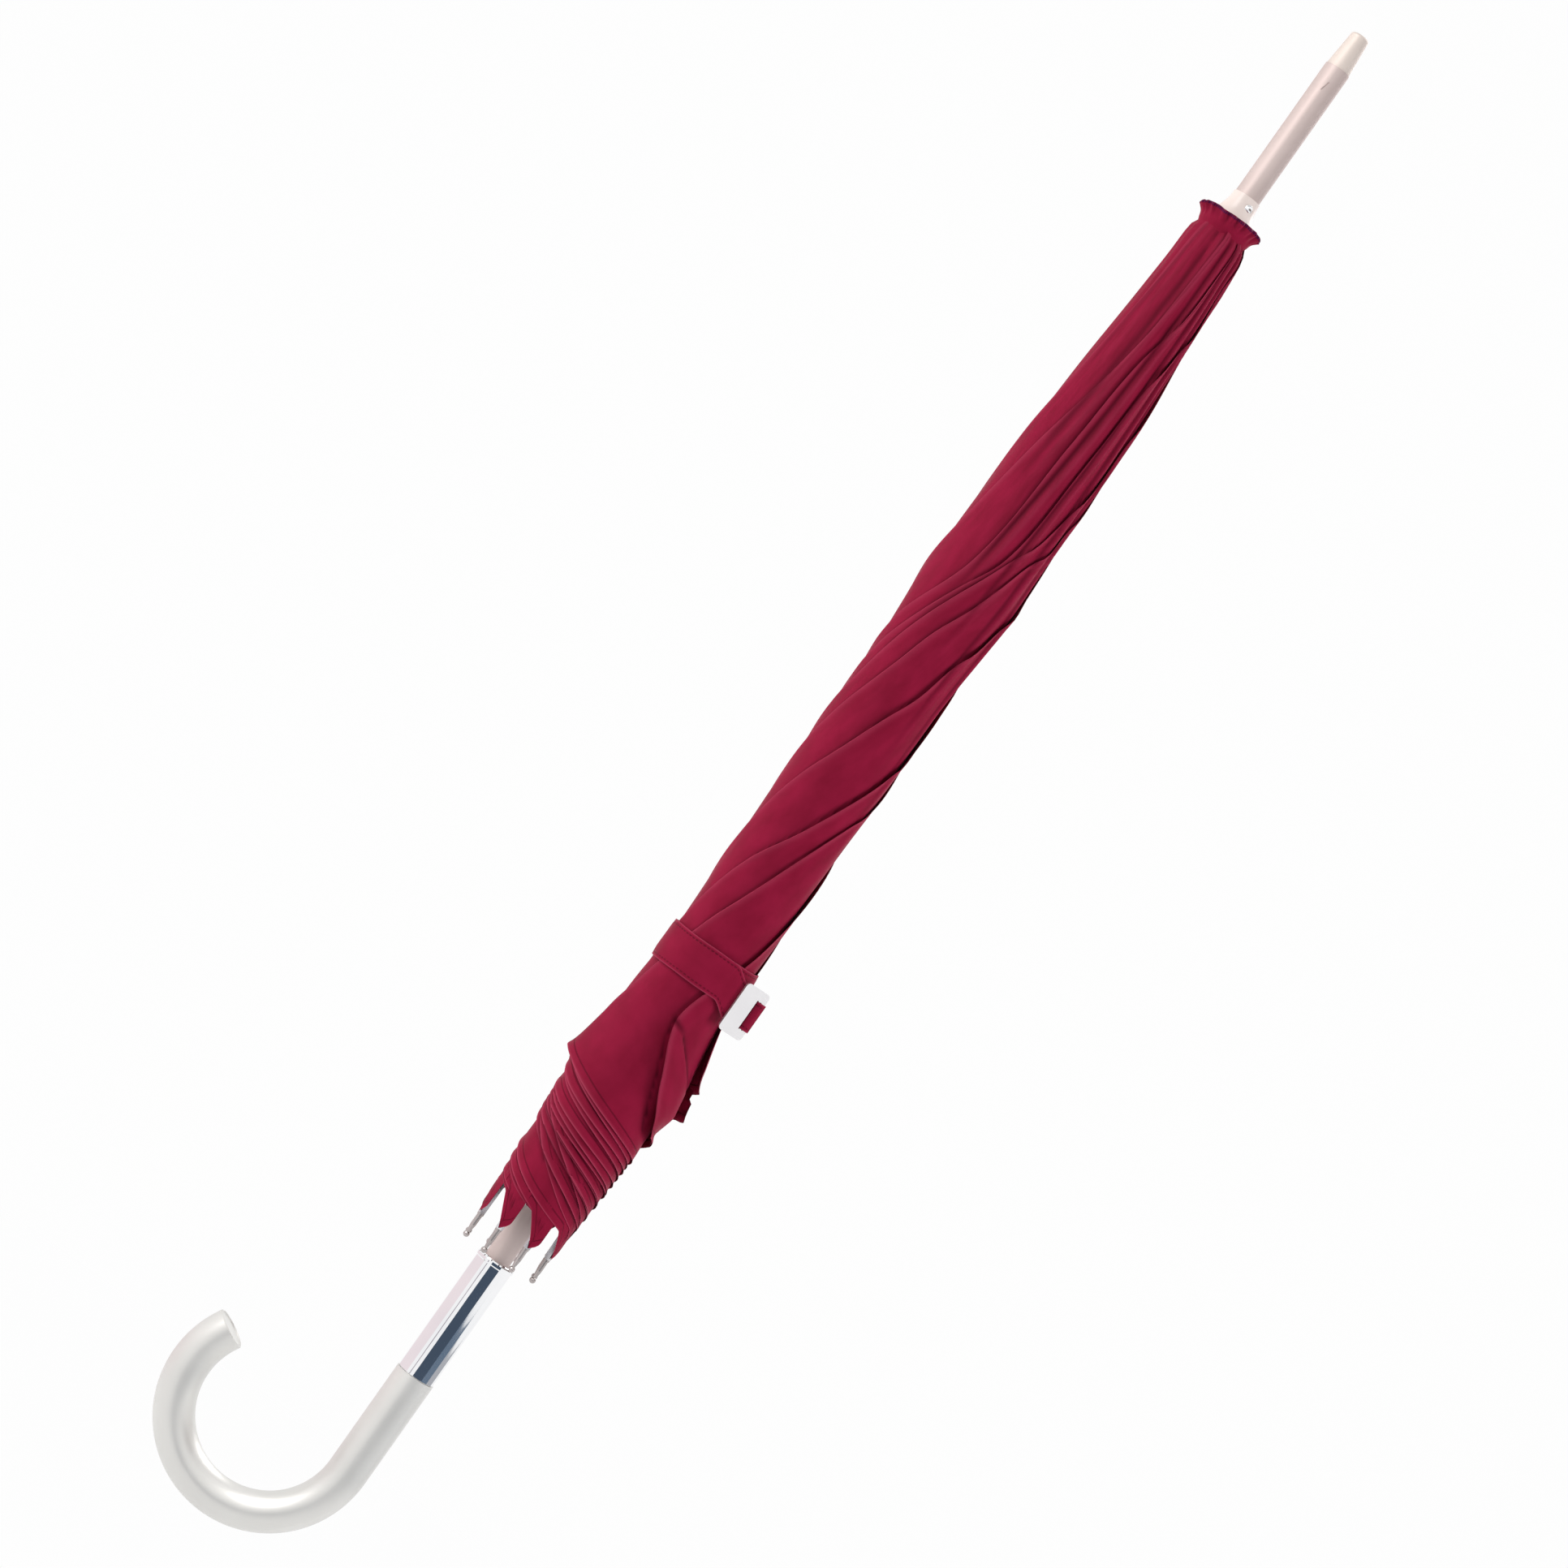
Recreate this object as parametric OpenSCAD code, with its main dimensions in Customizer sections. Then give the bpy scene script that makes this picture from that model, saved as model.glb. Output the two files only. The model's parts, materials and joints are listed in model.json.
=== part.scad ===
// Stick umbrella with a crook handle, rolled and strapped. +Z runs up the shaft to the tip.
// The origin is on the shaft's axis where the crook handle meets the chrome sleeve.

/* [Shaft] */
// Outer diameter of the shaft tube
shaft_d = 13.2; // [12.4:0.2:14]
// Wall of the shaft tube
shaft_wall = 0.8; // [0.6:0.1:1.2]
// Height of the shaft's top end above the handle
shaft_top = 760; // [740:5:790]
// Depth of the shaft inside the handle
shaft_seat = 34; // [24:2:44]
// Length of the tip that stands out of the shaft
tip_len = 19.5; // [14:0.5:30]
// Diameter of the tip's end
tip_end_d = 9.6; // [8:0.2:11]
// Length of the tip's spigot inside the shaft
tip_spigot = 16; // [10:1:24]

/* [Handle] */
// Diameter of the crook's bar
crook_d = 20.2; // [18:0.2:22]
// Radius of the crook's bend, at the middle of the bar
crook_r = 45.5; // [38:0.5:52]
// Straight length of the bar above the bend
crook_straight = 56; // [46:1:70]
// Angle of the crook's bend
crook_sweep = 209; // [180:1:220]
// Thickness of the cap on the crook's end
end_cap_t = 2.2; // [1.5:0.1:4]
// Length of the chrome sleeve
sleeve_len = 67.5; // [50:0.5:75]
// Outer diameter of the chrome sleeve
sleeve_d = 19.4; // [18:0.2:21]
// Extra radius of the sleeve's rolled lip
sleeve_lip = 0.4; // [0.2:0.1:0.8]
// Height of the sleeve's rolled lip
sleeve_lip_h = 3; // [2:0.5:5]

/* [Frame] */
// Length of a rib from its pivot to its end
rib_len = 585; // [560:1:600]
// Distance from a rib's pivot to its stretcher joint, and length of a stretcher
joint_at = 259; // [240:1:268]
// Radius of the circle of pivots in the notch and the runner
pivot_r = 11.4; // [11.2:0.1:12.4]
// Radius at which the rib ends lie when the umbrella is rolled
rolled_tip_r = 19.9; // [18.6:0.1:20]
// Height of the rib pivots
notch_z = 655; // [650:1:662]
// Angle between an open rib and the shaft
open_angle = 76; // [60:1:80]
// Width of a rib's channel
rib_w = 3; // [2.8:0.1:3.4]
// Thickness of the rib's sheet
rib_t = 0.5; // [0.4:0.05:0.6]
// Thickness of a stretcher
stretcher_t = 1.2; // [1:0.1:1.4]
// Width of a stretcher's blade
stretcher_w = 2.2; // [1.8:0.1:2.4]
// Diameter of the pins that the links turn on
pin_d = 1.6; // [1.4:0.1:1.8]
// Diameter of the ball on a rib end
ball_d = 3.2; // [2.8:0.1:4.2]

/* [Runner] */
// Length of the runner's barrel below its head
runner_barrel = 33; // [26:1:36]
// Height of the runner's head and of the notch
ring_h = 11; // [9:0.5:13]
// Wall of the runner's barrel
runner_wall = 2.2; // [1.8:0.1:2.4]
// Height of the lip at the runner's foot
runner_lip_h = 2.6; // [2:0.2:4]
// Length of a latch blade
latch_len = 13; // [10:0.5:16]
// Height that a latch stands out of the shaft
latch_out = 1.4; // [1:0.1:1.6]

/* [Canopy] */
// Diameter of the rolled canopy along its middle
roll_d = 45.6; // [45:0.2:50]
// Clearance between the canopy and what it covers
cover_gap = 0.4; // [0.3:0.1:0.6]
// Step where the fold of one gore lies over the next
fold_step = 0.9; // [0.4:0.1:1.2]
// Height of the strap that ties the roll
strap_w = 20; // [16:1:26]
// Height of the middle of the strap
strap_z = 239; // [232:1:250]
// Thickness of the strap
strap_t = 0.8; // [0.6:0.1:1]
// Length of the slider plate
plate_len = 26; // [20:1:28]
// Width of the slider plate
plate_w = 14.5; // [11:0.5:16]
// Thickness of the slider plate
plate_t = 1.4; // [1:0.1:2]
// Diameter of the gathered frill at the crown
frill_d = 33.4; // [31:0.2:36]
// Height of the frill
frill_h = 7.6; // [6:0.2:9]
// Height of the flared cap above the washer
cap_h = 13.5; // [11:0.5:16]
// Diameter of the cap's foot
cap_d = 21.4; // [19:0.2:24]
// Diameter of the washer under the cap
washer_d = 24.6; // [22:0.2:27]

/* [Hidden] */
$fn = 64;
ribs = 8;
pitch = 360 / ribs;
eps = 0.01;
fit = 0.05;                          // radial clearance of a sliding or turning fit
shaft_r = shaft_d / 2;
shaft_in = shaft_r - shaft_wall;
pin_r = pin_d / 2;
eye_r = pin_r + 0.65;
rest_angle = asin((rolled_tip_r - pivot_r) / rib_len);
runner_z = notch_z - 2 * joint_at * cos(rest_angle);
runner_travel = 2 * joint_at * (cos(rest_angle) - cos(open_angle));
ring_r = pivot_r + 0.9;
slot_w = stretcher_t + 0.9;
slot_in = pivot_r - eye_r - 0.3;
runner_r = shaft_r + runner_wall;
ring_below = ring_h * 0.6;
runner_foot = runner_z - ring_below - runner_barrel;
rib_side = rib_w / 2;
channel_in = rib_side - rib_t;
web_at = eye_r + 0.25;               // inner face of the rib's web, outward from the pivot line
rib_out = web_at + rib_t;
eye_t = rib_w - 2 * rib_t - 0.4;
neck = ring_below + 3;
plug_len = 6;
ball_r = ball_d / 2;
crimp_deep = shaft_wall / 2;
shank_r = ball_r - 0.2;
shank_len = 12;
peg_r = shank_r - 0.55;
tip_axis = web_at / 2;
latch_t = 1.2;
latch_root = 3;
latch_gap = 0.15;
lower_latch_z = runner_foot + runner_lip_h + latch_len / 2 + 3;
upper_latch_z = runner_foot + runner_travel - latch_len / 2 - 0.5;
groove_w = latch_t + 1.2;
// The canopy's outline: share of the rib's length above the rib ends, and radius over the roll's
roll_shape = [[0, -0.6], [0.06, 0.4], [0.13, 2], [0.2, 3.2], [0.225, 3.2], [0.26, 0.6],
    [0.34, 0], [0.75, -0.4], [0.84, -1.2], [0.91, -3.8], [0.965, -6.4], [1, -7.4]];
roll_r = roll_d / 2;
hem_z = notch_z - rib_len + 16;
crown_z = notch_z + ring_h - ring_below + cover_gap;
gore_top = crown_z + 3;
half_angle = asin(sin(open_angle) * sin(pitch / 2));
turn_per_mm = tan(half_angle) / roll_r * 180 / PI;   // the folds wind as they go down
rings = 40;
steps = 4;
seam = 0.4;                          // degrees left free on each side of a gore
strap_in = roll_r + lookup(share(strap_z - strap_w / 2), roll_shape) + fold_step / 2 + 0.3;
tab_azimuth = -60;
tab_len = 21;
frill_z = gore_top + 0.3;
washer_t = 1.2;
washer_z = frill_z + frill_h;
cap_z = washer_z + washer_t;
cap_neck = shaft_r + 0.55;

function azimuth(k) = (k - 0.5) * pitch;
function share(z) = (z - notch_z + rib_len) / rib_len;
function roll_at(z) = roll_r + lookup(share(z), roll_shape);
function bone_at(z) = z > notch_z - neck ? ring_r + cover_gap
    : pivot_r + (notch_z - z) * tan(rest_angle) + rib_out + cover_gap;

module tube(r_out, r_in, h) {
    difference() {
        cylinder(r = r_out, h = h);
        translate([0, 0, -eps]) cylinder(r = r_in, h = h + 2 * eps);
    }
}

module at_azimuth(k) rotate([0, 0, azimuth(k)]) children();

// Places a child drawn down -Z with its outer side along +X on a rib's pivot line at rest
module on_rib(k) {
    at_azimuth(k) translate([pivot_r, 0, notch_z]) rotate([0, -rest_angle, 0]) children();
}

// A pin or a disc across the link's plane
module cross(r, h) rotate([90, 0, 0]) cylinder(r = r, h = h, center = true, $fn = 32);

// ---- Shaft and tip ----
module crimp() {
    rotate([0, 0, -94]) translate([shaft_r - crimp_deep, 0, shaft_top - 11]) rotate([-14, 0, 0])
        translate([0, -0.3, -2.5]) cube([2, 0.6, 5]);
}

module latch_window(z) {
    translate([shaft_in - 2, -latch_t / 2 - latch_gap, z - latch_len / 2 - latch_gap])
        cube([shaft_wall + 4, latch_t + 2 * latch_gap, latch_len + 2 * latch_gap]);
}

module shaft() {
    color("rosybrown") difference() {
        translate([0, 0, -shaft_seat]) tube(shaft_r, shaft_in, shaft_top + shaft_seat);
        latch_window(lower_latch_z);
        latch_window(upper_latch_z);
        crimp();
    }
}

module tip() {
    collar_r = shaft_r - 0.4;
    round_r = 1.6;
    end_r = tip_end_d / 2;
    color("silver") translate([0, 0, shaft_top]) {
        rotate_extrude() {
            polygon([[0, 0], [collar_r, 0], [collar_r, 1], [end_r, tip_len - round_r], [0, tip_len - round_r]]);
            translate([0, tip_len - round_r]) intersection() {
                union() {
                    translate([end_r - round_r, 0]) circle(r = round_r, $fn = 32);
                    translate([0, -round_r]) square([end_r - round_r, 2 * round_r]);
                }
                square([end_r, round_r]);
            }
        }
        translate([0, 0, -tip_spigot]) cylinder(r = shaft_in - fit, h = tip_spigot + eps);
    }
}

// ---- Handle ----
module crook_bend(r, a0, a1) {
    translate([-crook_r, 0, -crook_straight]) rotate([90, 0, 0]) rotate([0, 0, -a1])
        rotate_extrude(angle = a1 - a0) translate([crook_r, 0]) circle(r = r);
}

module crook_handle() {
    color("lightgray") difference() {
        union() {
            crook_bend(crook_d / 2, 0, crook_sweep);
            translate([0, 0, -crook_straight]) cylinder(r = crook_d / 2, h = crook_straight);
            translate([0, 0, -crook_straight - 3]) cylinder(r = crook_d / 2 - 2, h = 6);
        }
        translate([0, 0, -shaft_seat - 1]) cylinder(r = shaft_r + fit, h = shaft_seat + 2);
    }
}

module handle_end_cap() {
    rim = 0.9;
    r = crook_d / 2;
    color("gainsboro") translate([-crook_r, 0, -crook_straight]) rotate([0, crook_sweep, 0])
        translate([crook_r, 0, 0]) mirror([0, 0, 1]) rotate_extrude()
            polygon([[0, 0], [r, 0], [r, end_cap_t - 0.5], [r - 0.5, end_cap_t],
                [r - rim, end_cap_t], [r - rim - 0.4, end_cap_t - 0.6], [0, end_cap_t - 0.6]]);
}

module grip_sleeve() {
    r = sleeve_d / 2;
    lip_r = r + sleeve_lip;
    lip_z = sleeve_len - sleeve_lip_h;
    bore = shaft_r + fit;
    color("white") rotate_extrude()
        polygon([[bore, 0], [r - 0.5, 0], [r, 0.5], [r, lip_z], [lip_r, lip_z + 0.6],
            [lip_r, sleeve_len - 1], [lip_r - 0.4, sleeve_len - 0.3], [lip_r - 1, sleeve_len],
            [bore + 1.4, sleeve_len], [bore, sleeve_len - 1.2]]);
}

// ---- Notch and runner ----
module slotted_ring(bore) {
    difference() {
        tube(ring_r, bore, ring_h);
        for (k = [1:ribs]) at_azimuth(k)
            translate([slot_in, -slot_w / 2, -eps]) cube([ring_r, slot_w, ring_h + 2 * eps]);
    }
}

module top_notch() {
    color("dimgray") translate([0, 0, notch_z - ring_below]) {
        slotted_ring(shaft_r + fit);
        for (k = [1:ribs]) at_azimuth(k)
            translate([pivot_r, 0, ring_below]) cross(pin_r, slot_w + 1);
    }
}

module runner() {
    lip_r = slot_in - 0.2;
    color("darkgray") difference() {
        union() {
            translate([0, 0, runner_z - ring_below]) slotted_ring(shaft_r + fit);
            translate([0, 0, runner_foot]) tube(runner_r, shaft_r + fit, runner_barrel + 1);
            translate([0, 0, runner_foot]) tube(lip_r, shaft_r + fit, runner_lip_h);
        }
        translate([0, -groove_w / 2, runner_foot - eps])
            cube([shaft_r + latch_out + 0.3, groove_w, runner_barrel + ring_h + 2 * eps]);
    }
}

module latch(z, up) {
    color("silver") translate([0, latch_t / 2, z]) rotate([90, 0, 0]) linear_extrude(latch_t)
        polygon([[latch_root, -latch_len / 2], [shaft_r, -latch_len / 2],
            [shaft_r + latch_out, up ? latch_len / 2 - 1 : -latch_len / 2 + 1],
            [shaft_r + latch_out, up ? latch_len / 2 : -latch_len / 2 + 3],
            [shaft_r, latch_len / 2], [latch_root, latch_len / 2]]);
}

module lower_latch() latch(lower_latch_z, false);
module upper_latch() latch(upper_latch_z, true);

// ---- Ribs and stretchers ----
module rib(k) {
    channel_from = neck;
    channel_len = rib_len - shank_len - channel_from;
    ear = 3.4;
    color("lightsteelblue") on_rib(k) {
        difference() {
            union() {
                cross(eye_r, eye_t);
                translate([-pin_r, -eye_t / 2, -neck - 2]) cube([2 * pin_r, eye_t, neck + 2 - pin_r]);
                translate([-pin_r, -rib_side + eps, -neck - 4])
                    cube([web_at + pin_r, rib_w - 2 * eps, 4]);
            }
            cross(pin_r + fit, rib_w);
        }
        translate([web_at, -rib_side, -channel_from - channel_len]) cube([rib_t, rib_w, channel_len]);
        for (side = [-1, 1]) translate([0, side * (rib_side - rib_t / 2), 0]) {
            translate([-0.3, -rib_t / 2, -channel_from - channel_len])
                cube([web_at + 0.4, rib_t, channel_len]);
            translate([0, 0, -joint_at]) {
                cross(eye_r, rib_t);
                translate([-eye_r, -rib_t / 2, -ear / 2]) cube([eye_r + web_at, rib_t, ear]);
            }
        }
        translate([0, 0, -joint_at]) cross(pin_r, rib_w - 0.2);
        translate([-0.3, -channel_in - 0.1, shank_len - rib_len])
            cube([web_at + 0.4, 2 * channel_in + 0.2, plug_len]);
        translate([tip_axis, 0, shank_len - rib_len - 5]) cylinder(r = peg_r, h = 6, $fn = 32);
    }
}

module rib_tip(k) {
    color("whitesmoke") on_rib(k) translate([tip_axis, 0, -rib_len]) difference() {
        rotate_extrude($fn = 32) {
            polygon([[0, ball_r * 0.8], [ball_r / 2, ball_r * 0.8], [shank_r, shank_len * 0.45],
                [shank_r, shank_len - 1], [shank_r + 0.3, shank_len - 1], [shank_r + 0.3, shank_len],
                [0, shank_len]]);
            intersection() {
                circle(r = ball_r, $fn = 32);
                translate([0, -ball_r]) square([ball_r, 2 * ball_r]);
            }
        }
        translate([0, 0, shank_len - 5.4]) cylinder(r = peg_r + fit, h = 6, $fn = 32);
    }
}

module stretcher(k) {
    color("slategray") at_azimuth(k)
        translate([pivot_r + joint_at * sin(rest_angle), 0, notch_z - joint_at * cos(rest_angle)])
            rotate([0, rest_angle, 0]) difference() {
                union() {
                    for (s = [0, joint_at]) translate([0, 0, -s]) cross(eye_r - 0.05, stretcher_t);
                    translate([-stretcher_w / 2, -stretcher_t / 2, -joint_at])
                        cube([stretcher_w, stretcher_t, joint_at]);
                }
                for (s = [0, joint_at]) translate([0, 0, -s]) cross(pin_r + fit, stretcher_t + 1);
            }
}

// ---- Canopy ----
// Height of a ring in a gore. The last three rings close over the notch.
function ring_share(i) = i / (rings - 3);
function ring_z(i, hem) = i <= rings - 3 ? hem + (crown_z - hem) * ring_share(i)
    : i == rings - 2 ? crown_z + 0.1 : gore_top;
function ring_in(i, z) = i >= rings - 2 ? shaft_r + 0.9 : bone_at(z);
function ring_turn(z) = (z - crown_z) * turn_per_mm;
function hem_at(u) = hem_z + 8 * (1 - u);

function gore_point(k, i, j) = let (
        outer = j <= steps,
        u = (outer ? j : 2 * steps + 1 - j) / steps,
        z = ring_z(i, hem_at(u)),
        a = azimuth(k) + seam + u * (pitch - 2 * seam) + ring_turn(z),
        inner = ring_in(i, z),
        skin = max(roll_at(min(z, crown_z)) + fold_step * (0.5 - u), inner + 0.5),
        r = outer ? skin : inner
    ) [r * cos(a), r * sin(a), z];

module gore(k) {
    n = 2 * (steps + 1);
    sides = [for (i = [0:rings - 2]) for (j = [0:n - 1]) let (
            a = i * n + j, b = i * n + (j + 1) % n)
        each [[a, a + n, b + n], [a, b + n, b]]];
    foot = [for (j = [1:n - 2]) [0, j, j + 1]];
    head = [for (j = [1:n - 2]) [(rings - 1) * n, (rings - 1) * n + j + 1, (rings - 1) * n + j]];
    color("maroon") polyhedron(
        points = [for (i = [0:rings - 1]) for (j = [0:n - 1]) gore_point(k, i, j)],
        faces = concat(sides, foot, head), convexity = 6);
}

// The strap goes round the roll and leaves it along a tangent, as a tab behind the slider plate
module strap() {
    color("darkred") translate([0, 0, strap_z - strap_w / 2]) {
        tube(strap_in + strap_t, strap_in, strap_w);
        rotate([0, 0, tab_azimuth]) translate([strap_in, 0, 0]) cube([strap_t, tab_len, strap_w]);
    }
}

module slider_plate() {
    corner = 2;
    slot = 2.6;
    drop = 9;
    color("silver") rotate([0, 0, tab_azimuth])
        translate([strap_in + strap_t, tab_len - plate_w * 0.28, strap_z - drop + 2])
            rotate([90, 0, 90]) linear_extrude(plate_t) difference() {
                offset(r = corner, $fn = 24)
                    square([plate_w - 2 * corner, plate_len - 2 * corner], center = true);
                translate([plate_w / 4, 0]) square([slot, strap_w * 0.8], center = true);
            }
}

module frill() {
    waves = 14;
    wave = 0.9;
    points = 112;
    r = frill_d / 2 - wave;
    color("purple") translate([0, 0, frill_z]) linear_extrude(frill_h) difference() {
        polygon([for (i = [0:points - 1]) let (a = i * 360 / points)
            (r + wave * cos(waves * a)) * [cos(a), sin(a)]]);
        circle(r = shaft_r + 0.3);
    }
}

module washer() {
    color("aliceblue") translate([0, 0, washer_z]) tube(washer_d / 2, shaft_r + fit, washer_t);
}

// A flared skirt that draws in to a neck on the shaft
module crown_cap() {
    foot_r = cap_d / 2;
    flare = foot_r - cap_neck;
    turn = 12;
    color("antiquewhite") difference() {
        translate([0, 0, cap_z]) rotate_extrude() polygon(concat([[shaft_r + fit, 0], [foot_r, 0]],
            [for (i = [0:turn]) let (t = i / turn)
                [cap_neck + flare * pow(1 - t, 2.2), 0.8 + t * (cap_h - 0.8)]],
            [[shaft_r + fit, cap_h]]));
        rivet_place() cylinder(r = 1.15, h = 6, center = true, $fn = 32);
    }
}

module rivet_place() {
    rotate([0, 0, -60]) translate([cap_neck - 0.6, 0, cap_z + cap_h * 0.62]) rotate([0, 90, 0]) children();
}

module cap_rivet() {
    color("silver") rivet_place() {
        translate([0, 0, 0.15]) cylinder(r = 1.1, h = 0.9, $fn = 32);
        translate([0, 0, 1.05]) rotate_extrude($fn = 32) intersection() {
            translate([0, -1.4]) circle(r = 2.2, $fn = 48);
            square([1.1, 2]);
        }
    }
}

shaft();
tip();
crook_handle();
handle_end_cap();
grip_sleeve();
top_notch();
runner();
lower_latch();
upper_latch();
crown_cap();
cap_rivet();
washer();
frill();
strap();
slider_plate();
for (k = [1:ribs]) {
    rib(k);
    rib_tip(k);
    stretcher(k);
    gore(k);
}
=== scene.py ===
"""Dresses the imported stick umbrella: rolled canopy, strap, crown frill and the finish of every part."""

from __future__ import annotations

import bisect
import json
import logging
import math
from collections.abc import Callable, Iterable
from dataclasses import dataclass, field
from enum import Enum

import bmesh
import bpy
from mathutils import Matrix, Vector, noise

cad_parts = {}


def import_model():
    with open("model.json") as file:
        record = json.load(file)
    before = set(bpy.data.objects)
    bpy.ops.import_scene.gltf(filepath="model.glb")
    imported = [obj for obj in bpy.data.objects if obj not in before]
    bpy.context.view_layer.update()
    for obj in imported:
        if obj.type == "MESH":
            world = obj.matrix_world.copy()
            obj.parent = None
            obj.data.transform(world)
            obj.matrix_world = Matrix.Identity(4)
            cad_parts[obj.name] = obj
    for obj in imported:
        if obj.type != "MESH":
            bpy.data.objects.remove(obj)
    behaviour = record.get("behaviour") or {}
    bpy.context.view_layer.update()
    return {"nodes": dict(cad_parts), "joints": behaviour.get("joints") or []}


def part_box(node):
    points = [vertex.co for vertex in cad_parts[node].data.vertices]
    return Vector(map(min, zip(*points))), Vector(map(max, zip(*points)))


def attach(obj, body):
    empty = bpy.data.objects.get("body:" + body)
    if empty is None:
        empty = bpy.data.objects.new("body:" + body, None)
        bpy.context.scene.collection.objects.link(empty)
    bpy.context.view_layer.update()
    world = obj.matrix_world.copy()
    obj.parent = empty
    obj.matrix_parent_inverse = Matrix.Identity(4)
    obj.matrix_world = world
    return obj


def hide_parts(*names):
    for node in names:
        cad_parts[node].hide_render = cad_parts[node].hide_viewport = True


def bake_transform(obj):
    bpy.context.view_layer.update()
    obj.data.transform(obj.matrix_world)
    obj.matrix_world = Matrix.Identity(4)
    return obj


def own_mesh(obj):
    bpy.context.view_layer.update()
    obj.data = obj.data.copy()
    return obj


LOG = logging.getLogger("umbrella")
Tree, Node, Socket = bpy.types.NodeTree, bpy.types.Node, bpy.types.NodeSocket
Material, Piece = bpy.types.Material, bpy.types.Object
Colour = tuple[float, float, float]
Span = tuple[float, float]
Value = Socket | float | tuple
Spot = tuple[Vector, Span, dict[str, float]]
Place = Callable[[float, float], Spot]
RIBS = 8
PITCH = math.tau / RIBS
STEPS = 60
MASK_SPAN = (0.3, 0.7)
THREAD_WIDE = 0.00055
EDGE_WIDE = 0.0008


class Metal(Enum):
    """The metal finishes on the umbrella."""

    CHROME = "polished_chrome"
    SHAFT = "champagne_shaft"
    TIP = "pale_tip"
    STEEL = "plated_steel"
    PEARL = "pearl_handle"
    NICKEL = "satin_nickel"
    WIRE = "tinned_wire"


class Plain(Enum):
    """The moulded and enamelled finishes on the umbrella."""

    BLACK = "black_moulding"
    CREAM = "cream_enamel"
    WHITE = "white_washer"


def smooth(t: float) -> float:
    """Return t clamped to 0..1 and eased at both ends."""
    t = min(1.0, max(0.0, t))
    return t * t * (3 - 2 * t)


def mix(a: float, b: float, t: float) -> float:
    """Return the value a share t of the way from a to b."""
    return a + (b - a) * t


def polar(radius: float, azimuth: float, z: float) -> Vector:
    """Return the point at a radius and azimuth round the shaft."""
    return Vector((radius * math.cos(azimuth), radius * math.sin(azimuth), z))


def ripple(azimuth: float, turns: float, z: float) -> float:
    """Return smooth noise round the shaft, which has no seam."""
    return noise.noise(polar(turns, azimuth, z))


# ---- Shaders ----


class Wiring:
    """Adds linked nodes to one node tree."""

    def __init__(self, tree: Tree) -> None:
        """Keep the tree."""
        self.tree = tree

    def feed(self, socket: Socket, value: Value) -> None:
        """Link an input to a socket, or give it its own value."""
        if isinstance(value, Socket):
            self.tree.links.new(value, socket)
        else:
            socket.default_value = value

    def node(self, kind: str, values: dict[str | int, Value], **settings: object) -> Node:
        """Add a node.

        Args:
            kind: The node's type, without its ShaderNode prefix.
            values: What feeds its inputs, by name or place.
            **settings: The node's own properties, which are set first.

        Returns:
            The node.
        """
        node = self.tree.nodes.new(f"ShaderNode{kind}")
        for key, setting in settings.items():
            setattr(node, key, setting)
        for key, value in values.items():
            self.feed(node.inputs[key], value)
        return node

    def math(self, operation: str, *values: Value, clamp: bool = False) -> Socket:
        """Add a Math node and return its socket."""
        return self.node("Math", dict(enumerate(values)), operation=operation, use_clamp=clamp).outputs[0]

    def noise(self, vector: Socket, scale: Value, detail: float) -> Socket:
        """Add a noise texture and return its socket."""
        return self.node("TexNoise", {"Vector": vector, "Scale": scale, "Detail": detail}).outputs["Fac"]

    def seen(self) -> Socket:
        """Return a mask that is 1 on the rays that show a surface: camera, glossy and transmission rays."""
        path = self.node("LightPath", {})
        rays = [path.outputs[f"Is {ray} Ray"] for ray in ("Camera", "Glossy", "Transmission")]
        return self.math("MAXIMUM", self.math("MAXIMUM", *rays[:2]), rays[2])


class GroupWiring(Wiring):
    """Builds a shared node group."""

    def __init__(self, name: str, inputs: dict[str, float], outputs: list[str]) -> None:
        """Make a group with a vector input and named float sockets.

        Args:
            name: The group's name.
            inputs: Names of the float inputs, with their default values.
            outputs: Names of the float outputs.
        """
        super().__init__(bpy.data.node_groups.new(name, "ShaderNodeTree"))
        face = self.tree.interface
        face.new_socket("Vector", in_out="INPUT", socket_type="NodeSocketVector")
        for key, value in inputs.items():
            face.new_socket(key, in_out="INPUT", socket_type="NodeSocketFloat").default_value = value
        for key in outputs:
            face.new_socket(key, in_out="OUTPUT", socket_type="NodeSocketFloat")
        self.given = self.tree.nodes.new("NodeGroupInput").outputs
        self.wanted = self.tree.nodes.new("NodeGroupOutput").inputs

    def end(self, **values: Socket) -> Tree:
        """Feed the outputs and return the group."""
        for key, value in values.items():
            self.feed(self.wanted[key], value)
        return self.tree


def weave_group() -> Tree:
    """Return the fine woven ground of the cloth, with Height and Shade outputs."""
    group = GroupWiring("cloth_weave", {"Scale": 900.0}, ["Height", "Shade"])
    place = group.given["Vector"]
    split = group.node("SeparateXYZ", {0: place}).outputs
    waves = [group.math("SINE", group.math("MULTIPLY", split[axis], group.given["Scale"])) for axis in "XY"]
    return group.end(Height=group.math("MULTIPLY", *waves), Shade=group.noise(place, 60.0, 3.0))


def grain_group() -> Tree:
    """Return the long drawn grain of a metal tube, with Height and Marks outputs."""
    sizes = {"Across": 900.0, "Along": 12.0, "Marks Scale": 45.0}
    group = GroupWiring("drawn_grain", sizes, ["Height", "Marks"])
    place, across, along, marks = (group.given[key] for key in ("Vector", *sizes))
    scale = group.node("CombineXYZ", {0: across, 1: across, 2: along}).outputs[0]
    drawn = group.node("VectorMath", {0: place, 1: scale}, operation="MULTIPLY").outputs[0]
    return group.end(Height=group.noise(drawn, 1.0, 4.0), Marks=group.noise(place, marks, 5.0))


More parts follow.
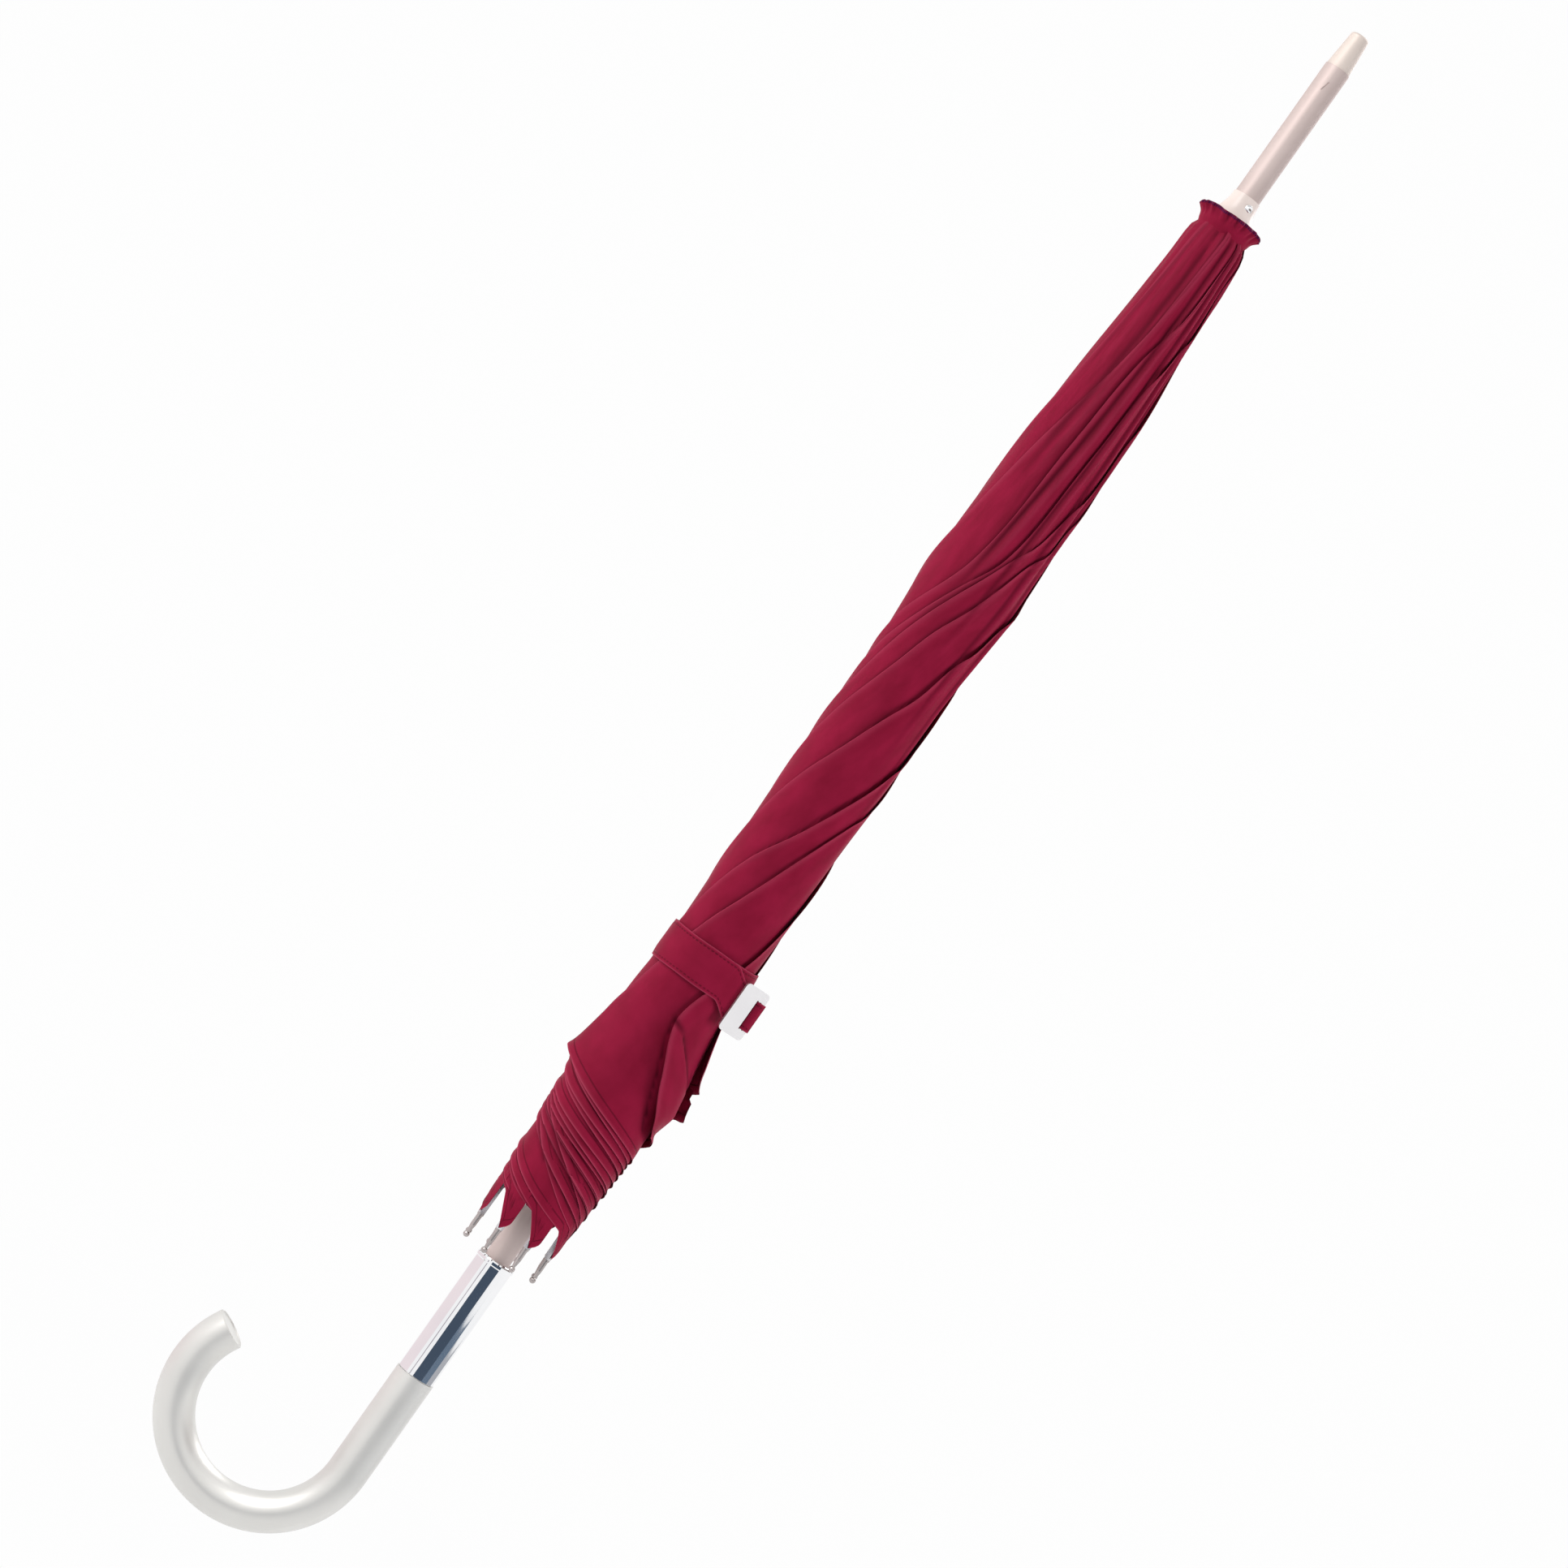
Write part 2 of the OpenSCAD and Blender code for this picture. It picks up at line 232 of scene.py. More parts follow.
def hem_group() -> Tree:
    """Return a sewn hem along the cloth's edge: a mask for its stitch row's painted shade, one for its
    edge's painted highlight, and a height.
    """
    group = GroupWiring("sewn_hem", {"Row": 0.004, "Stitches": 0.0}, ["Thread", "Edge", "Height"])
    math_node = group.math
    split = group.node("SeparateXYZ", {0: group.given["Vector"]}).outputs
    inward = math_node("SUBTRACT", split["Y"], group.given["Row"])
    off = math_node("DIVIDE", math_node("ABSOLUTE", inward), THREAD_WIDE)
    # the stitch row is real; its mask is painted in the shade colour, as shade in the groove the stitches
    # pull
    line = math_node("SUBTRACT", 1.0, off, clamp=True)
    wave = math_node("SINE", math_node("MULTIPLY", split["X"], group.given["Stitches"]))
    dash = math_node("ADD", math_node("MULTIPLY", wave, 1.4), 0.9, clamp=True)
    # the hem's folded edge, painted in the highlight colour as a painted highlight
    edge = math_node("SUBTRACT", 1.0, math_node("DIVIDE", split["Y"], EDGE_WIDE), clamp=True)
    double = math_node("SUBTRACT", 0.5, math_node("DIVIDE", inward, 0.001), clamp=True)
    height = math_node("SUBTRACT", double, math_node("MULTIPLY", line, 0.8))
    return group.end(Thread=math_node("MULTIPLY", line, dash), Edge=edge, Height=height)


@dataclass(frozen=True)
class Palette:
    """The node groups that the finishes share."""

    weave: Tree = field(default_factory=weave_group)
    grain: Tree = field(default_factory=grain_group)
    hem: Tree = field(default_factory=hem_group)


class Surface(Wiring):
    """Builds one material."""

    def __init__(self, name: str) -> None:
        """Start a material with its Principled shader."""
        self.material = bpy.data.materials.new(name)
        self.material.use_nodes = True
        super().__init__(self.material.node_tree)
        self.shader = self.tree.nodes["Principled BSDF"]

    def group(self, tree: Tree, source: str, **values: float) -> Node:
        """Place a shared group, driven by a Texture Coordinate output, and return its node."""
        where = self.node("TexCoord", {}).outputs[source]
        return self.node("Group", {"Vector": where, **values}, node_tree=tree)

    def ramp(self, fac: Socket, low: Colour, high: Colour) -> Socket:
        """Blend two colours by a mask and return the socket."""
        node = self.node("ValToRGB", {"Fac": fac})
        for element, position, colour in zip(node.color_ramp.elements, MASK_SPAN, (low, high)):
            element.position = position
            element.color = (*colour, 1)
        return node.outputs["Color"]

    def span(self, fac: Socket, low: float, high: float) -> Socket:
        """Spread a mask between two values and return the socket."""
        keys = ("Value", "From Min", "From Max", "To Min", "To Max")
        return self.node("MapRange", dict(zip(keys, (fac, *MASK_SPAN, low, high)))).outputs["Result"]

    def mask(self, name: str) -> Socket:
        """Read a mesh attribute and return its socket."""
        return self.node("Attribute", {}, attribute_name=name).outputs["Fac"]

    def over(self, base: Socket, mask: Socket, colour: Colour, most: float) -> Socket:
        """Lay a colour over another where a mask is high.

        Args:
            base: The socket of the colour underneath.
            mask: The mask's socket.
            colour: The colour on top.
            most: The share that the top colour has where the mask is 1.

        Returns:
            The mixed colour's socket.
        """
        values = {"Factor": self.math("MULTIPLY", mask, most), "A": base, "B": (*colour, 1)}
        return self.node("Mix", values, data_type="RGBA").outputs["Result"]

    def shade(self, values: dict[str, Value], height: Socket, strength: float, depth: float) -> Material:
        """Feed the shader and finish the material.

        Args:
            values: What feeds the shader's inputs, by name.
            height: The socket of the height that bumps it.
            strength: The bump's strength.
            depth: The bump's depth in metres.

        Returns:
            The material.
        """
        bump = self.node("Bump", {"Strength": strength, "Distance": depth, "Height": height})
        for key, value in {**values, "Normal": bump.outputs["Normal"]}.items():
            self.feed(self.shader.inputs[key], value)
        return self.material


@dataclass(frozen=True)
class Finish:
    """A hard surface with a fine grain and faint marks in its colour and roughness."""

    kind: Metal | Plain
    low: Colour
    high: Colour
    rough: Span
    metallic: float = 0.0
    coat: float = 0.0
    coat_rough: float = 0.03
    grain: float = 0.05
    across: float = 300.0
    along: float = 300.0

    def make(self, palette: Palette) -> Material:
        """Build the material from the palette's shared groups and return it."""
        surface = Surface(self.kind.value)
        grain = surface.group(palette.grain, "Object", Across=self.across, Along=self.along).outputs
        values = {
            "Base Color": surface.ramp(grain["Marks"], self.low, self.high),
            "Roughness": surface.span(grain["Marks"], *self.rough),
            "Metallic": self.metallic,
            "Coat Weight": self.coat,
            "Coat Roughness": self.coat_rough,
        }
        return surface.shade(values, grain["Height"], self.grain, 0.0001)


@dataclass(frozen=True)
class MetalFinish(Finish):
    """A metal surface, with its grain drawn out along the umbrella."""

    metallic: float = 1.0
    coat_rough: float = 0.12
    grain: float = 0.08
    across: float = 900.0
    along: float = 12.0


@dataclass(frozen=True)
class PlainFinish(Finish):
    """A moulded or enamelled surface, with an even mottle."""


@dataclass(frozen=True)
class ClothFinish:
    """Burgundy satin cloth with painted shade under its folds and painted highlights, and a sewn hem or a
    thread where one is asked for.
    """

    name: str
    low: Colour = (0.205, 0.0058, 0.027)
    high: Colour = (0.262, 0.0088, 0.038)
    # shadow is the colour of painted shade, rim the colour of painted highlights
    shadow: Colour = (0.074, 0.0022, 0.011)
    rim: Colour = (0.44, 0.060, 0.115)
    rough: Span = (0.46, 0.58)
    weave_scale: float = 14000.0
    hem: float | None = None
    stitches: float = 0.0
    thread: Colour | None = None
    edge_highlight_share: float = 0.6
    stitch_shade_share: float = 0.8
    crest_highlight_share: float = 0.30
    weave_share: float = 0.02
    sheen: float = 0.10
    sheen_rough: float = 0.30
    sheen_tint: Colour = (1.0, 0.30, 0.42)
    specular: float = 0.05

    def make(self, palette: Palette) -> Material:
        """Build the material.

        Args:
            palette: The palette that holds the shared groups.

        Returns:
            The material. Its painted shadow follows the piece's fold attribute, its painted highlight the
            crest one, and its thread the thread one.
        """
        surface = Surface(self.name)
        weave = surface.group(palette.weave, "UV", Scale=self.weave_scale).outputs
        # crest carries a painted highlight and fold a painted shade
        crest, fold = surface.mask("crest"), surface.mask("fold")
        layers = [(crest, self.rim, self.crest_highlight_share), (fold, self.shadow, 1.0)]
        hem_height = 0.0
        if self.hem is not None:
            sewn = surface.group(palette.hem, "UV", Row=self.hem, Stitches=self.stitches).outputs
            # the hem's stitch row is painted in the shade colour and its folded edge in the highlight
            # colour
            layers.insert(0, (sewn["Thread"], self.shadow, self.stitch_shade_share))
            layers.insert(0, (sewn["Edge"], self.rim, self.edge_highlight_share))
            hem_height = sewn["Height"]
        if self.thread is not None:
            layers.append((surface.mask("thread"), self.thread, 1.0))
        colour = surface.ramp(weave["Shade"], self.low, self.high)
        for layer in layers:
            colour = surface.over(colour, *layer)
        values = {
            "Base Color": colour,
            "Roughness": surface.span(weave["Shade"], *self.rough),
            "Sheen Weight": self.sheen,
            "Sheen Roughness": self.sheen_rough,
            "Sheen Tint": (*self.sheen_tint, 1),
            "Specular IOR Level": self.specular,
        }
        height = surface.math("MULTIPLY_ADD", weave["Height"], self.weave_share, hem_height)
        return surface.shade(values, height, 0.6, 0.0005)


# ---- Mesh helpers ----


def finish_piece(bm: bmesh.types.BMesh, name: str, material: Material) -> Piece:
    """Turn a bmesh into a smooth shaded object at the origin.

    Args:
        bm: The mesh, which is freed.
        name: The piece's name.
        material: The piece's finish.

    Returns:
        The new object.
    """
    mesh = bpy.data.meshes.new(name)
    bm.to_mesh(mesh)
    bm.free()
    mesh.polygons.foreach_set("use_smooth", [True] * len(mesh.polygons))
    mesh.materials.append(material)
    piece = bpy.data.objects.new(name, mesh)
    bpy.context.scene.collection.objects.link(piece)
    return piece


def cloth_grid(
    name: str, cuts: tuple[int, int], place: Place, material: Material
) -> Piece:
    """Shape a grid of cloth.

    Args:
        name: The piece's name.
        cuts: Faces across and along.
        place: Gives a point, its place on the flat cloth and its masks, at shares across and along.
        material: The cloth's finish.

    Returns:
        The new object.
    """
    bm = bmesh.new()
    bmesh.ops.create_grid(bm, x_segments=cuts[0], y_segments=cuts[1], size=0.5)
    uv = bm.loops.layers.uv.new("UVMap")
    spots = [place(v.co.x + 0.5, v.co.y + 0.5) for v in bm.verts]
    layers = {key: bm.verts.layers.float.new(key) for key in spots[0][2]}
    bm.verts.index_update()
    for vert, (point, _, masks) in zip(bm.verts, spots):
        vert.co = point
        for key, value in masks.items():
            vert[layers[key]] = value
    for face in bm.faces:
        for loop in face.loops:
            loop[uv].uv = spots[loop.vert.index][1]
    return finish_piece(bm, name, material)


def cloth_area(piece: Piece) -> float:
    """Return the area of a piece's faces."""
    return sum(face.area for face in piece.data.polygons)


def point_outwards(piece: Piece) -> None:
    """Flip a sheet round the shaft if most of its faces look inwards."""
    mesh = piece.data
    lean = sum(p.normal.x * p.center.x + p.normal.y * p.center.y for p in mesh.polygons)
    if lean < 0:
        mesh.flip_normals()


def close_ring(piece: Piece) -> None:
    """Join the two ends of a sheet that meet."""
    bm = bmesh.new()
    bm.from_mesh(piece.data)
    bmesh.ops.remove_doubles(bm, verts=bm.verts, dist=0.00001)
    bm.to_mesh(piece.data)
    bm.free()


# ---- The canopy ----


class Curve:
    """A smooth curve through rows of (place, value)."""

    def __init__(self, rows: Iterable[Span]) -> None:
        """Sort rows of places and values, and work out a slope at each."""
        rows = sorted(rows)
        self.at = [r[0] for r in rows]
        self.value = [r[1] for r in rows]
        steps = [
            (vb - va) / (b - a)
            for a, b, va, vb in zip(self.at, self.at[1:], self.value, self.value[1:])
        ]
        self.slope = [steps[0]] + [(a + b) / 2 for a, b in zip(steps, steps[1:])] + [steps[-1]]

    def read(self, at: float) -> float:
        """Return the value at a place, held level past both ends."""
        if at <= self.at[0]:
            return self.value[0]
        if at >= self.at[-1]:
            return self.value[-1]
        i = bisect.bisect_right(self.at, at) - 1
        wide = self.at[i + 1] - self.at[i]
        t = (at - self.at[i]) / wide
        rise = self.value[i + 1] - self.value[i]
        first, last = self.slope[i] * wide, self.slope[i + 1] * wide
        return self.value[i] + t * first + t * t * (3 * rise - 2 * first - last) + t**3 * (
            first + last - 2 * rise
        )


@dataclass(frozen=True)
class Winding:
    """How one gore's fold runs round the roll, from the crown to its loose corner."""

    fold: tuple[tuple[int, int], ...]
    corner: float = 0.171
    stand: float = 0.0


@dataclass(frozen=True)
class Pleat:
    """A soft pleat that stands up from the rolled cloth near the crown."""

    azimuth: float
    low: float
    lean: float
    height: float
    width: float
    high: float = 0.668
    lee: float = 2.2
    usual: float = 0.0018

    def relief(self, azimuth: float, z: float) -> tuple[float, float, float]:
        """Shape the cloth at a place.

        Args:
            azimuth: The place round the shaft, in radians.
            z: The place up the shaft.

        Returns:
            The pleat's lift in metres, the shade at its foot and the light on its crest.
        """
        if not self.low < z < self.high:
            return 0.0, 0.0, 0.0
        share = (z - self.low) / (self.high - self.low)
        crest = math.radians(self.azimuth + self.lean * (1 - share) ** 1.5)
        off = math.remainder(azimuth - crest, math.tau) / math.radians(self.width)
        if abs(off) > self.lee:
            return 0.0, 0.0, 0.0
        side = smooth(1 + off) if off < 0 else smooth(1 - off / self.lee)
        there = smooth(share / 0.3) * smooth((1 - share) / 0.04)
        strong = there * self.height / self.usual
        shade = strong * (0.75 * math.exp(-(((off + 1.0) / 0.45) ** 2)))
        light = strong * math.exp(-(((off - 0.05) / 0.35) ** 2))
        return self.height * side * there, shade, light


@dataclass(frozen=True)
class Flare:
    """A skirt of loose cloth that stands out from the roll under the strap."""

    azimuth: float
    before: float
    after: float
    reach: float
    rise: tuple[Span, ...]

    def lift(self, azimuth: float, z: float) -> float:
        """Return how far the skirt stands out at a place."""
        off = math.degrees(math.remainder(azimuth - math.radians(self.azimuth), math.tau))
        side = 1 - abs(off) / (self.after if off > 0 else self.before)
        if side <= 0 or not self.rise[0][0] < z < self.rise[-1][0]:
            return 0.0
        for (low, a), (high, b) in zip(self.rise, self.rise[1:]):
            if z <= high:
                return self.reach * mix(a, b, (z - low) / (high - low)) * side ** 1.25
        return 0.0


# The roll's outline, as (share of the rib's length, metres past the roll's radius)
OUTLINE = (
    (0.0, -0.0012), (0.05, -0.0004), (0.10, 0.0014), (0.15, 0.0026), (0.19, 0.0016),
    (0.225, 0.0004), (0.26, 0.0), (0.34, 0.0), (0.52, 0.0004), (0.57, -0.0002),
    (0.62, 0.0010), (0.66, 0.0019), (0.70, 0.0012), (0.75, 0.0001), (0.80, -0.0003),
    (0.84, -0.0015), (0.91, -0.0042), (0.945, -0.0058), (0.978, -0.0073), (1.0, -0.0081),
    (1.012, -0.0088), (1.02, -0.0091),
)
# One fold for each gore, as (height in mm, azimuth in degrees)
WINDINGS = (
    Winding((
        (660, -2), (620, -20), (591, -46), (542, -61), (476, -78), (452, -104), (430, -130),
        (400, -172), (300, -285), (239, -333), (200, -346), (171, -351),
    ), 0.171, 0.0008),
    Winding((
        (660, 14), (600, -2), (540, -24), (518, -36), (498, -49), (478, -71), (457, -92),
        (436, -114), (406, -144), (357, -193), (300, -250), (239, -305), (171, -338),
    )),
    Winding((
        (660, 46), (600, 22), (540, -2), (525, -9), (495, -30), (476, -55), (448, -77),
        (430, -96), (406, -115), (357, -164), (300, -221), (239, -280), (171, -318),
    )),
    Winding((
        (660, 92), (600, 66), (540, 34), (500, 10), (466, -10), (445, -30), (421, -52),
        (400, -66), (386, -82), (357, -111), (340, -130), (300, -170), (239, -231),
        (171, -285),
    )),
    Winding((
        (660, 150), (600, 128), (540, 104), (480, 72), (440, 42), (400, 4), (366, -28),
        (336, -65), (314, -92), (292, -123), (239, -176), (171, -225),
    )),
    Winding((
        (660, 228), (597, 216), (540, 192), (470, 140), (400, 48), (355, 0), (330, -42),
        (311, -65), (277, -99), (262, -115), (239, -137), (205, -165), (171, -184),
    )),
    Winding((
        (660, 284), (597, 264), (540, 235), (470, 190), (400, 118), (330, 40), (300, 2),
        (266, -31), (250, -46), (226, -74), (210, -82), (184, -60), (171, -46), (158, -28),
    ), 0.158, 0.0026),
    Winding((
        (660, 318), (620, 301), (591, 280), (540, 268), (470, 254), (452, 240), (430, 208),
        (400, 165), (300, 46), (266, 12), (239, -10), (200, -10), (188, -4),
    ), 0.188, 0.0006),
)
PLEATS = (
    Pleat(-84.0, 0.500, -30.0, 0.0014, 12.0), Pleat(-58.0, 0.430, -44.0, 0.0019, 8.0),
    Pleat(-40.0, 0.410, -36.0, 0.0018, 6.0), Pleat(-24.0, 0.350, -30.0, 0.0016, 6.0),
    Pleat(-9.0, 0.300, -22.0, 0.0014, 5.0), Pleat(-118.0, 0.560, -14.0, 0.0006, 13.0),
    Pleat(40.0, 0.420, -24.0, 0.0014, 8.0), Pleat(85.0, 0.380, -26.0, 0.0014, 8.0),
    Pleat(130.0, 0.450, -20.0, 0.0012, 8.0), Pleat(175.0, 0.500, -14.0, 0.0010, 9.0),
)
FLARES = (
    Flare(-184.0, 42.0, 118.0, 0.0070, (
        (0.150, 0.0), (0.164, 0.22), (0.1705, 1.0), (0.230, 0.0),
    )),
    Flare(3.0, 62.0, 70.0, 0.0086, (
        (0.140, 0.0), (0.160, 0.35), (0.1705, 1.0), (0.188, 1.0), (0.226, 0.0),
    )),
)


@dataclass
class Canopy:
    """The rolled canopy: eight gores wound round the ribs, over the skins that lie between them.

    Lengths are in metres. A gore's q is the share from its rib to its middle.
    """

    palette: Palette
    joints: dict[str, dict]
    roll_r: float = 0.0228
    fold_step: float = 0.0012
    cloth_len: float = 0.5845
    point_len: float = 0.012
    apex_rise: float = 0.012
    half_angle: float = math.radians(21.6)
    straight: float = 0.085
    tight: float = 0.26
    tight_over: float = 0.045
    tip_lead: float = math.radians(19.0)
    lead_wide: float = 0.004
    lead_from: float = 0.53
    lead_over: float = 0.03
    point_share: float = 0.04
    point_power: float = 0.8
    hem_power: float = 2.6
    fold_pull: float = 1.3
    cap_from: float = 0.0096
    notch_from: float = 0.0045
    cap_r: float = 0.0092
    under_cap_r: float = 0.0085
    notch_r: float = 0.0131
    rib_out: float = 0.0026
    layer_r: Span = (0.0004, 0.0031)
    row_gap: float = 0.0004
    corner_gap: float = 0.001
    inner_turn: float = 0.12
    half_step: float = 0.00016
    hem_clear: float = 0.0017
    deepest: float = 0.004
    bead: float = 0.0005
    bead_wide: float = 0.09
    most_shade: float = 0.85
    slack: float = 0.0006
    creases: float = 0.00018
    under_strap: float = 0.228
    pinch_wide: float = 0.012
    flap_top: float = 0.2105
    flap_drop: float = 0.0285
    flap_from: float = -84.0
    flap_wide: float = 92.0
    flap_lift: float = 0.0021
    flap_shade: float = 0.0035
    skin_gap: float = 0.0003
    skin_top: float = 0.0016
    skin_foot: float = 0.012
    skin_arch: float = 0.062
    pack_drop: float = 0.016
    pack_keep: float = 0.012
    cuts: tuple[int, int] = (200, 150)
    skin_cuts: tuple[int, int] = (28, 90)

    def __post_init__(self) -> None:
        """Read the frame's places from the rib joints, and lay out the folds."""
        pivot = self.joints["rib_hinge_1"]["pos_m"]
        self.pivot_z = pivot[2]
        self.pivot_r = math.hypot(pivot[0], pivot[1])
        tip_low, tip_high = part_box("rib_tip_1")
        self.tip_z = tip_low[2]
        self.tip_r = math.hypot((tip_low[0] + tip_high[0]) / 2, (tip_low[1] + tip_high[1]) / 2)
        self.rib_len = self.pivot_z - self.tip_z
        self.apex_z = self.pivot_z + self.apex_rise
        self.lean = (self.tip_r - self.pivot_r) / self.rib_len
        self.folds = [
            Curve([(z / 1000, math.radians(turn)) for z, turn in way.fold]) for way in WINDINGS
        ]
        self.shell = Curve(OUTLINE)
        self.edges = [self.edge_curve(k, 1) for k in range(1, RIBS + 1)]
        self.inner_edges = [self.edge_curve(k, -1) for k in range(1, RIBS + 1)]

    def share(self, z: float) -> float:
        """Return the share of the rib's length that z stands above the rib ends."""
        return (z - self.tip_z) / self.rib_len

    def crown(self, z: float) -> float:
        """Return how far the cloth is drawn in over the notch, from 0 to 1."""
        return smooth((z - self.pivot_z - self.cap_from) / (self.apex_rise - self.cap_from))

    def outer(self, z: float) -> float:
        """Return the roll's radius at a height, drawn in to the shaft over the notch."""
        return mix(self.roll_r + self.shell.read(self.share(z)), self.cap_r, self.crown(z))

    def bone(self, z: float) -> float:
        """Return the radius just outside the ribs and the notch at a height."""
        below = self.pivot_r + (self.pivot_z - z) * self.lean + self.rib_out
        over = smooth((z - self.pivot_z - self.notch_from) / (self.apex_rise - self.notch_from))
        return mix(min(max(below, self.notch_r), self.outer(z) - 2 * self.skin_gap), self.under_cap_r, over)

    def wound(self, x: float, y: float) -> float:
        """Return the angle that cloth takes up round the roll.

        Args:
            x: Distance from the rib, across the cloth.
            y: Distance down from the apex.

        Returns:
            The angle in radians. The inner turns are tighter, and the cloth hangs straight at the crown.
        """
        if y < 1e-6:
            return 0.0
        held = self.straight * (1 - math.exp(-y / self.straight)) / y
        tight = self.tight * (1 - math.exp(-x / self.tight_over)) * self.tight_over / self.roll_r
        return (x / self.roll_r + tight) * (1 - held)

    def reach(self, k: int, q: float) -> float:
        """Return the length of a gore's cloth from its apex to its hem.

        Args:
            k: The gore's number, from 1.
            q: Share from the rib to the gore's middle.

        Returns:
            The length, which ends in a point at the rib.
        """
        middle = (self.apex_z - WINDINGS[k - 1].corner) / math.cos(self.half_angle)
        rib_side = self.cloth_len - self.point_len * min(1.0, q / self.point_share) ** self.point_power
        return mix(rib_side, middle, 1 - (1 - q) ** self.hem_power)

    def azimuth(self, k: int, s: float, q: float, x: float, y: float) -> float:
        """Return the place round the roll of a point of a gore.

        Args:
            k: The gore's number, from 1.
            s: The gore's side, from -1 at its first rib to 1 at its second.
            q: Share from the rib to the gore's middle.
            x: Distance from the rib, across the cloth.
            y: Distance down from the apex.

        Returns:
            The azimuth in radians.
        """
        z = max(self.apex_z - y, WINDINGS[k - 1].corner)
        fold_y = self.apex_z - z
        natural = k * PITCH - self.wound(fold_y * math.tan(self.half_angle), fold_y)
        turn = self.folds[k - 1].read(z) - natural
        near = x / self.lead_wide
        lead = self.tip_lead * near * math.exp(1 - near) * smooth((y - self.lead_from) / self.lead_over)
        start = k * PITCH + s * PITCH / 2 + (lead if s < 0 else 0.0)
        return start - self.wound(x, y) + turn * smooth(q * self.fold_pull)

    def flat_point(self, rho: float, q: float) -> Span:
        """Return how far a point lies across and down the flat cloth, rho from the apex."""
        return rho * math.sin(q * self.half_angle), rho * math.cos(q * self.half_angle)

    def edge_curve(self, k: int, half: int) -> Curve:
        """Return the azimuth by height of the edge of one half of a gore: its hem, then its fold."""
        rows = []
        for i in range(STEPS):
            q = i / STEPS
            x, y = self.flat_point(self.reach(k, q), q)
            rows.append((self.apex_z - y, self.azimuth(k, half * (1 - q), q, x, y)))
        rows.sort()
        rising = [rows[0]]
        for row in rows[1:]:
            if rising[-1][0] + self.row_gap < row[0] < WINDINGS[k - 1].corner - self.corner_gap:
                rising.append(row)
        fold = self.folds[k - 1]
        return Curve([*rising, *zip(fold.at, fold.value)])

    def gore_point(self, k: int, across: float, along: float) -> tuple[Vector, float, float, float]:
        """Place a point of a wound gore.

        Args:
            k: The gore's number, from 1.
            across: Share across the gore, from one rib to the next.
            along: Share down the gore.

        Returns:
            The point, the shade that its neighbours throw on it, the light on its crests, and its
            distance from the hem.
        """
        s = across * 2 - 1
        q = 1 - abs(s)
        reach = self.reach(k, q)
        rho = reach * along
        x, y = self.flat_point(rho, q)
        z = self.apex_z - y
        azimuth = self.azimuth(k, s, q, x, y)
        edge = (self.inner_edges if s < 0 else self.edges)[k - 1].read(z)
        behind = max(0.0, azimuth - edge)
        outer = self.outer(z)
        least, most = self.layer_r
        room = max(least, min(most, outer - self.bone(z) - self.skin_gap))
        under = self.inner_turn if s < 0 else 0.0
        depth = room * (1 - math.exp(-self.fold_step * (behind + under * q) / (PITCH * room)))
        side = max(-1.0, min(1.0, s / 0.05))
        radius = outer - depth + self.half_step * q * side
        near_edge = math.exp(-((behind / self.bead_wide) ** 2)) * smooth(q / 0.3)
        radius += self.bead * near_edge
        follow = mix(0.5, 1.0, smooth(1 - behind / 1.2))
        radius += follow * sum(f.lift(azimuth, z) for f in FLARES)
        loose = smooth((self.under_strap - z) / 0.03) * smooth(1 - behind / 0.5)
        radius += WINDINGS[k - 1].stand * loose * smooth((z - 0.150) / 0.01)
        lift, foot, crest = self.surface(azimuth, z)
        radius += lift * (1 - depth / self.deepest)
        ridge, shaded = self.ridge(azimuth, z)
        radius += ridge * smooth(1 - behind / 1.6)
        pinch = smooth((along - 0.94) / 0.06) * smooth(1 - x / self.pinch_wide)
        radius = mix(radius, self.tip_r + self.hem_clear, pinch)
        # painted shade from other gores' edges, the pleats' feet and the flap's ridge, and a painted
        # highlight along the gore's own edge and the pleats' crests
        shade = max(self.shade(k, azimuth, z), foot, shaded) if depth < 0.8 * room else 0.0
        light = max(0.6 * crest, near_edge) * (1 - shade)
        return polar(radius, azimuth, z), shade, light, reach - rho

    def ridge(self, azimuth: float, z: float) -> Span:
        """Return the lift and shade of the flap's folded upper edge, from its apex to its corner."""
        turn = math.degrees(math.remainder(azimuth, math.tau))
        past = turn - self.flap_from
        if not -12.0 < past < 98.0:
            return 0.0, 0.0
        share = past / self.flap_wide
        below = self.flap_top - self.flap_drop * (0.6 * smooth(share) + 0.4 * share) - z
        start = smooth((past + 6.0) / 8.0)
        lift = self.flap_lift * smooth((below + 0.0004) / 0.0018) * smooth(1 - (below - 0.004) / 0.026)
        shade = self.most_shade * smooth(1 + below / self.flap_shade) if below < 0 else 0.0
        return lift * start, shade * start * smooth((z - 0.15) / 0.02)

    def surface(self, azimuth: float, z: float) -> tuple[float, float, float]:
        """Return the cloth's relief at a place: its lift, the shade in it and the light on it."""
        slack = ripple(azimuth, 1.4, z * 14.0 + 3.0)
        fine = ripple(azimuth, 3.2, z * 40.0 + 11.0)
        calm = 1 - self.crown(z)
        reliefs = [p.relief(azimuth, z) for p in PLEATS]
        lift = self.slack * slack + self.creases * fine + sum(r[0] for r in reliefs)
        shade = min(self.most_shade, sum(r[1] for r in reliefs))
        return lift * calm, shade * calm, max(r[2] for r in reliefs) * calm

